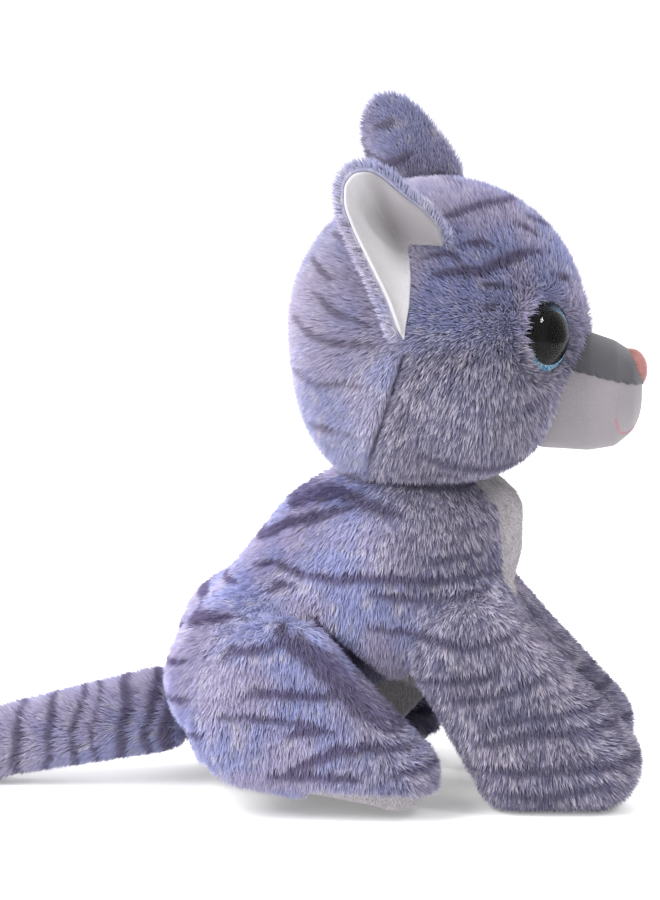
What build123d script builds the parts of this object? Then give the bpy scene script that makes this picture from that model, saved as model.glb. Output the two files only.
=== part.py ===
from build123d import *
from math import asin, cos, radians, sin, sqrt
import os

# Seated plush cat, in millimetres.  The cat looks along +X, its left side is +Y and the floor is Z = 0.
# X = 0 is midway between the tip of the nose and the tip of the tail, and Y = 0 is the plane between
# the two sides.

# Cloth and fits
pile_cover = 3.0          # plush cover, backing cloth and flattened pile together
smooth_cover = 1.2        # short-nap cloth of the muzzle
fill_gap = 0.2            # between a cover and the stuffing inside it
moving_gap = 0.4          # between two bodies that turn against each other

# Torso: a pear of stacked ovals that leans forward
torso_top = 105.5
# share of the height, back X, front X, half width
torso_ovals = (
    (0.00, -1.0, 46.0, 21.0),
    (0.08, -12.0, 56.0, 26.0),
    (0.24, -18.5, 64.0, 28.0),
    (0.43, -17.5, 82.0, 34.0),
    (0.62, -9.5, 99.0, 38.0),
    (0.80, 6.0, 103.0, 39.5),
    (0.93, 17.0, 103.0, 37.0),
    (1.00, 25.0, 100.0, 33.0),
)
chest_panel_half = 21.0
chest_panel_bottom = 60.0
belly_panel_half = 17.0
belly_rear_z = 5.0        # top edge of the belly panel under the tail
belly_slope = 26.0        # degrees it climbs towards the chest

# Head: a ball
head_radius = 51.0
head_x = 72.0
head_gap = 2.0            # air under the ball that the nod uses
head_z = torso_top + head_gap + head_radius
face_seam_x = 10.0        # the seam behind the cheeks lies this far behind the ball's middle
face_seam_lean = 18.0     # degrees, its top leans forward
forehead_half = 20.0
neck_x = 68.0
neck_z = torso_top + 3.5
neck_radius = 16.0

# Muzzle: ovals along X, measured from the middle of the head
# X, middle Z, half height, half width
muzzle_ovals = (
    (36.0, -21.0, 20.5, 27.0),
    (50.0, -21.5, 20.0, 25.0),
    (59.0, -22.5, 17.2, 20.5),
    (65.0, -21.5, 13.0, 14.5),
    (68.0, -19.5, 7.5, 8.0),
)
bridge_x = 48.0           # where the edge of the nose bridge leaves the face
bridge_z = -11.3
bridge_fall = 17.0        # degrees
nose_radius = 7.0
nose_z = -12.8
nose_proud = 1.0
mouth_thread = 1.4
mouth_proud = 0.6
mouth_top = -18.5
mouth_fork = -26.5
mouth_dip = (7.5, -33.0)
mouth_end = (13.0, -28.0)

# Eyes: clear domes on a black button with a shank and a washer
eye_radius = 11.5
eye_dome = 6.0
eye_seat = 46.8           # from the middle of the head to the flat back of the dome
eye_turn = 42.0           # degrees out from straight ahead
eye_rise = 1.0
pupil_radius = 8.6
pupil_lift = 1.3
pupil_thickness = 0.5
iris_thickness = 0.9
button_thickness = 1.5
button_rim = 0.7
shank_radius = 2.4
shank_length = 10.0
washer_radius = 8.0
washer_thickness = 1.4
dimple_wall = 1.2         # cloth drawn in around and behind each eye
eye_fit = 0.1

# Ears: three-cornered scoops
ear_base = 37.0
ear_tip = (29.0, 47.0)    # along the base and away from it
ear_corner = 2.0
ear_ball = 45.0           # radius of the scoop
ear_back_cover = 3.2
ear_lining_cover = 1.4
ear_lining_trim = 1.5     # the lining's edge lies this far inside the back's
ear_root_gap = 3.2        # air that the fold uses
ear_seat = 47.0           # from the middle of the head to the middle of the ear's base
# directions from the head's middle to the ear's base, along the base, and from the base to the tip
ear_left_lines = ((0.0, 41.0, 24.0), (20.0, -13.0, 26.0), (-17.0, 5.0, 51.0))
ear_right_lines = ((-5.2, -43.5, 17.0), (13.6, 11.0, 30.0), (-21.8, -11.5, 45.0))

# Front legs
front_leg_inner = 10.0    # Y of the inner face
front_leg_outer = 48.0
shoulder_x = 84.0
shoulder_z = 53.0
shoulder_radius = 22.0
wrist_x = 97.0
wrist_radius = 13.5
front_toe_radius = 16.5
front_toe_back = 1.0      # the toes stop this far behind the tip of the nose
front_round_outer = 12.0
front_round_inner = 6.0
shoulder_room = 2.6       # the thigh of the leg sweeps this much past its own ring

# Hind legs
hind_leg_inner = 28.0
hind_leg_outer = 58.0
thigh_x = 18.0
thigh_z = 38.0
thigh_radius = 31.0
hind_toe_x = 58.0
hind_toe_radius = 15.0
hind_round_outer = 13.0
hind_round_inner = 4.0
sole_height = 4.5
sole_start_x = 30.0

# Tail: two stuffed lengths that meet in a bend
tail_root_x = -24.5
tail_root_z = 25.5
tail_root_radius = 15.0
tail_bend_x = -84.0
tail_bend_radius = 12.3
tail_tip_radius = 11.0
tail_lift = 0.6           # under the tail
tail_bend_gap = 0.8       # between the hollow end and the ball in it

# Seat pellets
pellet_bag_x = 20.0
pellet_bag_z = 14.5
pellet_bag_radius = 20.0
pellet_bag_height = 8.5   # half of it
pellet_bag_round = 7.0
pellet_bag_wall = 0.8

# Where the pieces meet
head_middle = Vector(head_x, 0, head_z)
neck_middle = Vector(neck_x, 0, neck_z)
nose_tip = head_x + muzzle_ovals[-1][0] + nose_proud
front_toe_x = nose_tip - front_toe_back - front_toe_radius
tail_tip_x = -nose_tip + tail_tip_radius
tail_root = Vector(tail_root_x, 0, tail_root_z)
tail_bend = Vector(tail_bend_x, 0, tail_bend_radius + tail_lift)
tail_tip = Vector(tail_tip_x, 0, tail_tip_radius + tail_lift)
pellet_bag_middle = Vector(pellet_bag_x, 0, pellet_bag_z)
big = 400.0               # larger than the cat, for half spaces
sides = (("left", 1), ("right", -1))

os.makedirs("parts", exist_ok=True)


def save(piece, name):
    """Labels a finished piece and writes its STEP file."""
    piece.part.label = name
    export_step(piece.part, f"parts/{name}.step")


def torso_room(grow):
    """The room that the neck, the limbs and the tail need in the torso, grown on all sides."""
    shoulder_back = shoulder_x - shoulder_radius - moving_gap - grow
    haunch_top = thigh_z + thigh_radius + moving_gap + grow
    with BuildPart() as room:
        for name, side in sides:
            with BuildSketch(Plane.XZ.offset(-side * (front_leg_inner - moving_gap - grow))):
                with Locations((shoulder_x, shoulder_z)):
                    Circle(shoulder_radius + shoulder_room + grow)
                with Locations((shoulder_back, shoulder_z)):
                    Rectangle(big, big, align=(Align.MIN, Align.MAX))
            extrude(amount=-side * big / 2)
            with BuildSketch(Plane.XZ.offset(-side * (hind_leg_inner - moving_gap - grow))):
                with Locations((shoulder_x, haunch_top)):
                    Rectangle(big, big, align=(Align.MAX, Align.MAX))
            extrude(amount=-side * big / 2)
        with Locations(neck_middle):
            Sphere(neck_radius + moving_gap + grow)
        with Locations(tail_root):
            Sphere(tail_root_radius + moving_gap + grow)
    return room.part


def torso_form(inset):
    """The torso, a pear of stacked ovals with room for the limbs, drawn in by an even inset."""
    with BuildPart() as form:
        for share, back, front, half in torso_ovals:
            with BuildSketch(Plane.XY.offset(inset + share * (torso_top - 2 * inset))):
                with Locations(((back + front) / 2, 0)):
                    Ellipse((front - back) / 2 - inset, half - inset)
        loft()
    return form.part - torso_room(inset)


def head_form(inset):
    """The head's ball with its neck socket, drawn in by an even inset."""
    with BuildPart() as form:
        with Locations(head_middle):
            Sphere(head_radius - inset)
        with Locations(neck_middle):
            Sphere(neck_radius + moving_gap + inset, mode=Mode.SUBTRACT)
    return form.part


def muzzle_form(inset):
    """The muzzle, ovals lofted forwards, drawn in by an inset."""
    with BuildPart() as form:
        for along, middle, high, wide in muzzle_ovals:
            end = inset if along == muzzle_ovals[-1][0] else 0
            with BuildSketch(Plane.YZ.offset(head_x + along - end)):
                with Locations((0, head_z + middle)):
                    Ellipse(wide - inset, high - inset)
        loft()
    return form.part


def block(low, high):
    """An upright block between two corners."""
    with BuildPart() as form:
        with Locations(tuple((a + b) / 2 for a, b in zip(low, high))):
            Box(*(b - a for a, b in zip(low, high)))
    return form.part


def bar(plane, radius, low, high):
    """A round bar along a plane's normal, between two heights above the plane."""
    with BuildPart() as form:
        with BuildSketch(plane.offset(low)):
            Circle(radius)
        extrude(amount=high - low)
    return form.part


def leg_form(circles, inner, outer, inner_round, outer_round, side):
    """A leg: the hull around its circles (x, z, radius), rounded towards both its faces."""
    levels = []
    for turn in (0, 45, 90):
        drop = 1 - sin(radians(turn))
        run = 1 - cos(radians(turn))
        levels.append((inner + inner_round * run, inner_round * drop))
        levels.append((outer - outer_round * run, outer_round * drop))
    with BuildPart() as form:
        for along, inset in sorted(levels):
            with BuildSketch(Plane.XZ.offset(-side * along)):
                for x, z, radius in circles:
                    with Locations((x, z)):
                        Circle(radius - inset)
                make_hull()
        loft(ruled=True)
    return form.part


def front_leg_form(inset, side):
    """A front leg, drawn in by an even inset."""
    circles = (
        (shoulder_x, shoulder_z, shoulder_radius - inset),
        (wrist_x, wrist_radius, wrist_radius - inset),
        (front_toe_x, front_toe_radius, front_toe_radius - inset),
    )
    faces = front_leg_inner + inset, front_leg_outer - inset
    return leg_form(circles, *faces, front_round_inner - inset, front_round_outer - inset, side)


def hind_leg_form(inset, side):
    """A hind leg, haunch and foot together, drawn in by an even inset."""
    circles = (
        (thigh_x, thigh_z, thigh_radius - inset),
        (hind_toe_x, hind_toe_radius, hind_toe_radius - inset),
    )
    faces = hind_leg_inner + inset, hind_leg_outer - inset
    return leg_form(circles, *faces, hind_round_inner - inset, hind_round_outer - inset, side)


def tail_form(start, end, start_radius, end_radius, hollow):
    """A length of tail, turned about its own line: a round start, a taper, a hollow or round end."""
    along = (end - start).normalized()
    length = (end - start).length
    half = sqrt(0.5)
    with BuildPart() as form:
        with BuildSketch(Plane(origin=start, x_dir=along, z_dir=(0, -1, 0))):
            with BuildLine():
                start_mid = (-start_radius * half, start_radius * half)
                ThreePointArc((-start_radius, 0), start_mid, (0, start_radius))
                if hollow:
                    turn = asin(end_radius / hollow)
                    rim = (length - hollow * cos(turn), end_radius)
                    middle = (length - hollow * cos(turn / 2), hollow * sin(turn / 2))
                    last = (length - hollow, 0)
                else:
                    rim = (length, end_radius)
                    middle = (length + end_radius * half, end_radius * half)
                    last = (length + end_radius, 0)
                Line((0, start_radius), rim)
                ThreePointArc(rim, middle, last)
                Line(last, (-start_radius, 0))
            make_face()
        revolve(axis=Axis(start, along))
    return form.part


# ---- Torso: two side covers, a belly panel, a chest panel, the filling and a bag of pellets in the seat
torso_outer = torso_form(0)
torso_hollow = torso_form(pile_cover)
belly_top = Plane(
    origin=(torso_ovals[1][1], 0, belly_rear_z),
    z_dir=(-sin(radians(belly_slope)), 0, cos(radians(belly_slope))),
)
chest_box = block((neck_x, -chest_panel_half, chest_panel_bottom), (big, chest_panel_half, big))
belly_strip = block((-big, -belly_panel_half, -big), (big, belly_panel_half, chest_panel_bottom))

with BuildPart() as chest_panel:
    add(torso_outer)
    add(torso_hollow, mode=Mode.SUBTRACT)
    add(chest_box, mode=Mode.INTERSECT)
save(chest_panel, "chest_panel")

with BuildPart() as belly_panel:
    add(torso_outer)
    add(torso_hollow, mode=Mode.SUBTRACT)
    add(belly_strip, mode=Mode.INTERSECT)
    split(bisect_by=belly_top, keep=Keep.BOTTOM)
save(belly_panel, "belly_panel")

for name, side in sides:
    with BuildPart() as body_cover:
        add(torso_outer)
        add(torso_hollow, mode=Mode.SUBTRACT)
        add(chest_panel.part, mode=Mode.SUBTRACT)
        add(belly_panel.part, mode=Mode.SUBTRACT)
        split(bisect_by=Plane.XZ, keep=Keep.BOTTOM if side > 0 else Keep.TOP)
    save(body_cover, f"body_cover_{name}")


def pellet_bag_form(inset):
    """The pellet bag, a flat-bottomed bun, drawn in by an even inset."""
    with BuildPart() as form:
        with Locations(pellet_bag_middle):
            Cylinder(pellet_bag_radius - inset, 2 * (pellet_bag_height - inset))
        fillet(form.edges().filter_by(GeomType.CIRCLE), pellet_bag_round - inset)
    return form.part


with BuildPart() as pellet_bag:
    add(pellet_bag_form(0))
    add(pellet_bag_form(pellet_bag_wall), mode=Mode.SUBTRACT)
save(pellet_bag, "pellet_bag")

with BuildPart() as seat_pellets:
    add(pellet_bag_form(pellet_bag_wall + fill_gap))
save(seat_pellets, "seat_pellets")

with BuildPart() as body_stuffing:
    add(torso_form(pile_cover + fill_gap))
    add(pellet_bag_form(-fill_gap), mode=Mode.SUBTRACT)
save(body_stuffing, "body_stuffing")

# ---- Neck: a firm wad of filling that the head nods and turns on
with BuildPart() as neck_stuffing:
    with Locations(neck_middle):
        Sphere(neck_radius)
save(neck_stuffing, "neck_stuffing")


# ---- Head: the ball is cut into two rear covers, a forehead and two cheeks
def eye_plane(side):
    """The flat back of an eye's dome, its normal pointing out of the head."""
    turn, rise = radians(eye_turn), radians(eye_rise)
    out = Vector(cos(turn) * cos(rise), side * sin(turn) * cos(rise), sin(rise))
    across = Vector(-side * sin(turn), cos(turn), 0)
    return Plane(origin=head_middle + out * eye_seat, x_dir=across, z_dir=out)


button_bottom = -iris_thickness - button_thickness
dimple_floor = button_bottom - eye_fit
dimple_bottom = dimple_floor - dimple_wall
dimple_radius = eye_radius + button_rim + eye_fit
washer_top = dimple_bottom - eye_fit
shank_end = button_bottom - shank_length

with BuildPart() as head_skin:
    add(head_form(0))
    add(head_form(pile_cover), mode=Mode.SUBTRACT)
    for name, side in sides:
        add(bar(eye_plane(side), dimple_radius + dimple_wall, dimple_bottom, eye_fit))
        add(bar(eye_plane(side), dimple_radius, dimple_floor, big), mode=Mode.SUBTRACT)
        add(bar(eye_plane(side), shank_radius + eye_fit, -big / 10, 0), mode=Mode.SUBTRACT)
    add(muzzle_form(0), mode=Mode.SUBTRACT)

lean = radians(face_seam_lean)
face_seam = Plane(origin=head_middle - Vector(face_seam_x, 0, 0), z_dir=(cos(lean), 0, -sin(lean)))
forehead_box = block((0, -forehead_half, head_z + bridge_z), (big, forehead_half, big))

for name, side in sides:
    own_side = Keep.BOTTOM if side > 0 else Keep.TOP
    with BuildPart() as head_back_cover:
        add(head_skin.part)
        split(bisect_by=face_seam, keep=Keep.BOTTOM)
        split(bisect_by=Plane.XZ, keep=own_side)
    save(head_back_cover, f"head_back_cover_{name}")

    with BuildPart() as cheek_cover:
        add(head_skin.part)
        split(bisect_by=face_seam, keep=Keep.TOP)
        add(forehead_box, mode=Mode.SUBTRACT)
        split(bisect_by=Plane.XZ, keep=own_side)
    save(cheek_cover, f"cheek_cover_{name}")

with BuildPart() as forehead_cover:
    add(head_skin.part)
    split(bisect_by=face_seam, keep=Keep.TOP)
    add(forehead_box, mode=Mode.INTERSECT)
save(forehead_cover, "forehead_cover")

with BuildPart() as head_stuffing:
    add(head_form(pile_cover + fill_gap))
    for name, side in sides:
        plane = eye_plane(side)
        cup_room = dimple_radius + dimple_wall + fill_gap
        add(bar(plane, cup_room, dimple_bottom - fill_gap, big), mode=Mode.SUBTRACT)
        add(bar(plane, washer_radius + fill_gap, shank_end - fill_gap, 0), mode=Mode.SUBTRACT)
save(head_stuffing, "head_stuffing")

# ---- Muzzle: a smooth cover, a darker bridge on top, filling, a nose and a stitched mouth
fall = radians(bridge_fall)
bridge_edge = Plane(
    origin=head_middle + Vector(bridge_x, 0, bridge_z),
    z_dir=(sin(fall), 0, cos(fall)),
)
with BuildPart() as muzzle_skin:
    add(muzzle_form(0))
    add(muzzle_form(smooth_cover), mode=Mode.SUBTRACT)
    add(head_form(pile_cover), mode=Mode.SUBTRACT)

with BuildPart() as muzzle_cover:
    add(muzzle_skin.part)
    split(bisect_by=bridge_edge, keep=Keep.BOTTOM)
save(muzzle_cover, "muzzle_cover")

with BuildPart() as nose_bridge:
    add(muzzle_skin.part)
    split(bisect_by=bridge_edge, keep=Keep.TOP)
save(nose_bridge, "nose_bridge")

with BuildPart() as muzzle_stuffing:
    add(muzzle_form(smooth_cover + fill_gap))
    add(head_form(pile_cover), mode=Mode.SUBTRACT)
save(muzzle_stuffing, "muzzle_stuffing")

with BuildPart() as nose:
    with Locations((nose_tip - nose_radius, 0, head_z + nose_z)):
        Sphere(nose_radius)
    add(muzzle_form(0), mode=Mode.SUBTRACT)
save(nose, "nose")

with BuildPart() as mouth_stitch:
    with BuildSketch(Plane.YZ.offset(head_x)):
        with Locations((0, head_z + (mouth_top + mouth_fork) / 2)):
            Rectangle(mouth_thread, mouth_top - mouth_fork)
        for name, side in sides:
            with BuildLine(mode=Mode.PRIVATE) as lip:
                ThreePointArc(
                    (0, head_z + mouth_fork),
                    (side * mouth_dip[0], head_z + mouth_dip[1]),
                    (side * mouth_end[0], head_z + mouth_end[1]),
                )
            SlotArc(lip.edge(), mouth_thread)
    extrude(amount=big)
    add(muzzle_form(-mouth_proud), mode=Mode.INTERSECT)
    add(muzzle_form(0), mode=Mode.SUBTRACT)
    add(nose.part, mode=Mode.SUBTRACT)
save(mouth_stitch, "mouth_stitch")

# ---- Eyes: a clear dome, a black pupil, a glitter iris, a button with its shank, and the washer behind
dome_ball = (eye_radius**2 + eye_dome**2) / (2 * eye_dome)
for name, side in sides:
    plane = eye_plane(side)
    pupil_plane = plane.offset(pupil_lift)

    with BuildPart() as eye_dome_piece:
        with Locations(plane.offset(eye_dome - dome_ball)):
            Sphere(dome_ball)
        split(bisect_by=plane, keep=Keep.TOP)
        add(bar(pupil_plane, pupil_radius + eye_fit, -1, pupil_thickness + eye_fit), mode=Mode.SUBTRACT)
    save(eye_dome_piece, f"eye_dome_{name}")

    with BuildPart() as eye_pupil:
        add(bar(pupil_plane, pupil_radius, 0, pupil_thickness))
        split(bisect_by=plane, keep=Keep.TOP)
    save(eye_pupil, f"eye_pupil_{name}")

    with BuildPart() as eye_iris:
        add(bar(plane, eye_radius, -iris_thickness, 0))
    save(eye_iris, f"eye_iris_{name}")

    with BuildPart() as eye_button:
        add(bar(plane, eye_radius + button_rim, button_bottom, 0))
        add(bar(plane, eye_radius, -iris_thickness, 0), mode=Mode.SUBTRACT)
        add(bar(plane, shank_radius, shank_end, button_bottom))
    save(eye_button, f"eye_button_{name}")

    with BuildPart() as eye_washer:
        add(bar(plane, washer_radius, washer_top - washer_thickness, washer_top))
        add(bar(plane, shank_radius + eye_fit, -big / 10, 0), mode=Mode.SUBTRACT)
    save(eye_washer, f"eye_washer_{name}")


# ---- Ears: a plush back and a smooth lining, two nested scoops
def ear_plane(side):
    """An ear's own plane: X along its base, Y towards its tip, Z out of its hollow."""
    seat, base, tip = ear_left_lines if side > 0 else ear_right_lines
    middle = head_middle + Vector(*seat).normalized() * ear_seat
    along = Vector(*base).normalized()
    facing = along.cross(Vector(*tip)).normalized()
    return Plane(origin=middle, x_dir=along, z_dir=facing)


def ear_form(side, trim, near, far):
    """A three-cornered piece of a hollow ball, between two depths into its wall."""
    reach = ear_tip[1] ** 2 + ear_tip[0] ** 2 - (ear_base / 2) ** 2
    ring_y = reach / (2 * ear_tip[1])
    ring = sqrt((ear_base / 2) ** 2 + ring_y**2)
    rise = sqrt(ear_ball**2 - ring**2)
    middle = (0, ring_y, -side * rise)
    with BuildPart() as form:
        with BuildSketch(ear_plane(side)) as outline:
            Polygon((-ear_base / 2, 0), (ear_base / 2, 0), ear_tip, align=None)
            fillet(outline.vertices(), ear_corner)
            if trim:
                offset(amount=-trim)
        extrude(amount=side * ear_ball)
        with Locations(ear_plane(side).location * Pos(*middle)):
            Sphere(ear_ball - near, mode=Mode.INTERSECT)
            Sphere(ear_ball - far, mode=Mode.SUBTRACT)
        add(head_form(-ear_root_gap), mode=Mode.SUBTRACT)
    return form.part


lining_near = ear_back_cover + fill_gap
for name, side in sides:
    with BuildPart() as ear_back:
        add(ear_form(side, 0, 0, ear_back_cover))
    save(ear_back, f"ear_back_{name}")

    with BuildPart() as ear_lining:
        add(ear_form(side, ear_lining_trim, lining_near, lining_near + ear_lining_cover))
    save(ear_lining, f"ear_lining_{name}")

# ---- Legs: covers closed over their filling, and a pale sole under each hind foot
for name, side in sides:
    with BuildPart() as front_leg_cover:
        add(front_leg_form(0, side))
        add(front_leg_form(pile_cover, side), mode=Mode.SUBTRACT)
    save(front_leg_cover, f"front_leg_cover_{name}")

    with BuildPart() as front_leg_stuffing:
        add(front_leg_form(pile_cover + fill_gap, side))
    save(front_leg_stuffing, f"front_leg_stuffing_{name}")

    sole_box = block((sole_start_x, -big, -big), (big, big, sole_height))
    with BuildPart() as hind_leg_cover:
        add(hind_leg_form(0, side))
        add(hind_leg_form(pile_cover, side), mode=Mode.SUBTRACT)
        add(sole_box, mode=Mode.SUBTRACT)
    save(hind_leg_cover, f"hind_leg_cover_{name}")

    with BuildPart() as hind_sole:
        add(hind_leg_form(0, side))
        add(hind_leg_form(pile_cover, side), mode=Mode.SUBTRACT)
        add(sole_box, mode=Mode.INTERSECT)
    save(hind_sole, f"hind_sole_{name}")

    with BuildPart() as hind_leg_stuffing:
        add(hind_leg_form(pile_cover + fill_gap, side))
    save(hind_leg_stuffing, f"hind_leg_stuffing_{name}")

# ---- Tail: a root length with a ball in the rump, and an end length with a ball in the root
def tail_root_form(inset):
    """The root length, drawn in: its end is hollowed for the ball of the end length."""
    radii = tail_root_radius - inset, tail_bend_radius - inset
    return tail_form(tail_root, tail_bend, *radii, tail_bend_radius + tail_bend_gap + inset)


def tail_end_form(inset):
    """The end length, drawn in, round at the tip."""
    radii = tail_bend_radius - inset, tail_tip_radius - inset
    return tail_form(tail_bend, tail_tip, *radii, 0)


with BuildPart() as tail_root_cover:
    add(tail_root_form(0))
    add(tail_root_form(pile_cover), mode=Mode.SUBTRACT)
save(tail_root_cover, "tail_root_cover")

with BuildPart() as tail_root_stuffing:
    add(tail_root_form(pile_cover + fill_gap))
save(tail_root_stuffing, "tail_root_stuffing")

with BuildPart() as tail_end_cover:
    add(tail_end_form(0))
    add(tail_end_form(pile_cover), mode=Mode.SUBTRACT)
save(tail_end_cover, "tail_end_cover")

with BuildPart() as tail_end_stuffing:
    add(tail_end_form(pile_cover + fill_gap))
save(tail_end_stuffing, "tail_end_stuffing")
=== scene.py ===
from math import cos, pi, radians, sin

import bpy
import numpy as np
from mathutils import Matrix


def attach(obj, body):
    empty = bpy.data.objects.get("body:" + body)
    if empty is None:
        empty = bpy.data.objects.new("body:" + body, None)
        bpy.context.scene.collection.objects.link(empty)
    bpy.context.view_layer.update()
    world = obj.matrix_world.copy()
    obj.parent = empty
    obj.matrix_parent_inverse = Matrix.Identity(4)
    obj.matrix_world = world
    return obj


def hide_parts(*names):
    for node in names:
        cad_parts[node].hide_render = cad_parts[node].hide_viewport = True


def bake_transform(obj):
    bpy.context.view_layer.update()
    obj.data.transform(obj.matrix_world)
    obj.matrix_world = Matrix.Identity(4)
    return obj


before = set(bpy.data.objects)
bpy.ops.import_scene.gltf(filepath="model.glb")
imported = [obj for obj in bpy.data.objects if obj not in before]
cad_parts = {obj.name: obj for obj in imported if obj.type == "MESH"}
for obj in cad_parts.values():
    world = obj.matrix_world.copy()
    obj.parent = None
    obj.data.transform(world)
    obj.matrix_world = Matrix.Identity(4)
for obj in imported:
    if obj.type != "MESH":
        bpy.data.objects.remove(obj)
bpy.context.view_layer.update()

import openvdb
from mathutils import Vector

# ---- Body cover: striped plush sewn as two sides over a stuffed pear, with a neck that runs up into
# the head.  The cloth is drawn in under its pile, and the shoulders and rump swell out to meet the limbs.
torso_ovals = (
    (0, -1, 46, 21),
    (8, -12, 56, 26),
    (25, -18.5, 64, 28),
    (45, -17.5, 82, 34),
    (65, -9.5, 99, 38),
    (84, 6, 103, 39.5),
    (98, 17, 103, 37),
    (105.5, 25, 100, 33),
)
plush_pile = 2.8          # mm from the cloth to the combed tips
coat_length = 3.7         # mm of each tuft, drawn straight


def ball(x, y, z, middle, radius):
    """Millimetres outside a ball."""
    return np.sqrt((x - middle[0]) ** 2 + (y - middle[1]) ** 2 + (z - middle[2]) ** 2) - radius


def stalk(x, y, z, start, end, start_radius, end_radius):
    """Millimetres outside a tapered length with round ends."""
    run = [b - a for a, b in zip(start, end)]
    along = (x - start[0]) * run[0] + (y - start[1]) * run[1] + (z - start[2]) * run[2]
    along = np.clip(along / sum(r * r for r in run), 0, 1)
    middle = [a + along * r for a, r in zip(start, run)]
    return ball(x, y, z, middle, 0) - (start_radius + (end_radius - start_radius) * along)


def sewn(a, b, ease):
    """Two stuffed shapes run together, with a soft valley between them."""
    share = np.clip(0.5 + 0.5 * (b - a) / ease, 0, 1)
    return b * (1 - share) + a * share - ease * share * (1 - share)


def fade(values, low, high):
    """0 below low, 1 above high, and smooth between."""
    share = np.clip((values - low) / (high - low), 0, 1)
    return share * share * (3 - 2 * share)


def under_shoulder(x, z):
    """Millimetres below the line where the side sinks in between the shoulder and the haunch."""
    return 66 - z - 0.95 * (x - 33)


def torso(x, y, z):
    heights = [o[0] for o in torso_ovals]
    back, front, half = (np.interp(z, heights, [o[k] for o in torso_ovals]) for k in (1, 2, 3))
    deep = (front - back) / 2
    ring = np.sqrt(((x - back - deep) / deep) ** 2 + (y / half) ** 2)
    side = (ring - 1) * np.minimum(deep, half)
    hollow = 21 * fade(under_shoulder(x, z), -3, 3) * fade(x, 26, 50) * fade(np.abs(y), 8, 24)
    return sewn_out(sewn_out(side + hollow, -z, 12), z - 109, 7)


def sewn_out(a, b, ease):
    """What two stuffed shapes share, with a soft edge."""
    return -sewn(-a, -b, ease)


def body_shape(x, y, z):
    far = np.abs(y)
    shape = torso(x, y, z)
    shape = sewn(shape, ball(x, far, z, (84, 27, 57), 20), 14)
    shape = sewn(shape, ball(x, far, z, (6, 33, 45), 25.5), 22)
    shape = sewn(shape, stalk(x, y, z, (62, 0, 92), (70, 0, 128), 34, 20), 8)
    return shape + plush_pile


def stuffed(name, shape, low, high, pitch):
    """A closed cloth form where a shape's surface lies, its corners given in millimetres."""
    axes = [np.arange(a, b + pitch, pitch) for a, b in zip(low, high)]
    field = shape(*np.meshgrid(*axes, indexing="ij")).astype(np.float32)
    grid = openvdb.FloatGrid(background=1000.0)
    grid.copyFromArray(field)
    points, quads = grid.convertToQuads(isovalue=0.0)
    mesh = bpy.data.meshes.new(name)
    mesh.from_pydata((np.array(points) * pitch + np.array(low)) / 1000, [], np.array(quads))
    mesh.polygons.foreach_set("use_smooth", [True] * len(mesh.polygons))
    mesh.update()
    inner = sum(p.normal.dot(p.center - mesh.vertices[0].co) * p.area for p in mesh.polygons) < 0
    if inner:
        mesh.flip_normals()
    form = bpy.data.objects.new(name, mesh)
    bpy.context.scene.collection.objects.link(form)
    return form


def places(form):
    """The form's points in millimetres."""
    points = np.empty(len(form.data.vertices) * 3)
    form.data.vertices.foreach_get("co", points)
    return points.reshape(-1, 3) * 1000


def note(form, name, values):
    """Writes one value or vector for each point of the cloth, which its pile takes up as well."""
    values = np.asarray(values, np.float32)
    vector = values.ndim == 2
    mark = form.data.attributes.new(name, "FLOAT_VECTOR" if vector else "FLOAT", "POINT")
    mark.data.foreach_set("vector" if vector else "value", values.ravel())


def stripe_marks(points, stripes):
    """How dark the stripes are at each point, stripes of print and painted shade bands alike: every stripe
    is a line of places with a width.
    """
    dark = np.zeros(len(points))
    for width, *line in stripes:
        line = np.array(line, float)
        runs = np.linalg.norm(np.diff(line, axis=0), axis=1)
        travel = np.concatenate(([0], np.cumsum(runs)))
        steps = np.linspace(0, 1, max(6, int(travel[-1] / 1.2)))
        beads = np.stack([np.interp(steps * travel[-1], travel, row) for row in line.T], 1)
        sizes = width * (0.45 + 0.55 * np.sin(pi * steps) ** 0.6)
        for bead, size in zip(beads, sizes):
            gap = np.linalg.norm(points - bead, axis=1) / size
            dark = np.maximum(dark, np.clip(1.35 - gap, 0, 1))
    return dark


# width, then places from the side as (x, z)
body_stripes_and_shade = (
    # mostly painted shade under the head, partly a stripe of print: the dark band along the neck
    (2.2, (38, 112), (49, 111), (76, 109), (98, 111)),
    (3.0, (24, 100), (31, 104), (40, 106), (48, 104), (59, 101)),
    (2.1, (13, 88), (18, 92), (24, 96), (31, 98), (38, 101), (44, 102)),
    (2.2, (12, 81), (18, 83), (28, 81), (40, 80), (54, 81), (70, 80), (92, 81)),
    (1.8, (48, 76), (61, 74), (76, 73), (88, 76)),
    (1.6, (65, 85), (74, 87), (86, 88)),
    (1.6, (-16, 71), (-6, 73), (-1, 74), (6, 75)),
    (2.0, (-24, 62), (-10, 64), (-3, 66), (4, 67)),
    (1.8, (16, 74), (20, 77), (25, 77)),
    (1.8, (48, 64), (59, 63), (67, 62), (81, 59), (97, 63)),
    (1.8, (93, 81), (102, 77)),
    (1.8, (106, 70), (113, 60), (118, 54)),
    (1.6, (-26, 52), (-16, 52), (-10, 54)),
    (1.8, (-24, 40), (-14, 41), (-8, 43)),
    (1.6, (-24, 29), (-11, 30), (-2, 31)),
    (1.6, (-20, 17), (-10, 18), (0, 16)),
)


def side_marks(stripes):
    """Stripes and painted shade bands that show the same from either side."""
    return lambda x, y, z: stripe_marks(np.stack((x, z), 1), stripes)


def dress(form, mark, frost, comb, pale=0.0, nap=1.0):
    """Notes on the cloth what its pile needs: its stripes and painted shade, frosting, pale parts and
    painted light, length and lie.
    """
    points = places(form)
    note(form, "root", points / 1000)
    for name, value in (("mark", mark), ("frost", frost), ("pale", pale), ("nap", nap)):
        note(form, name, value(*points.T) if callable(value) else np.full(len(points), value))
    lie = comb(*points.T) if callable(comb) else comb
    note(form, "comb", np.stack([part + 0 * points[:, 0] for part in lie], 1))


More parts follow.
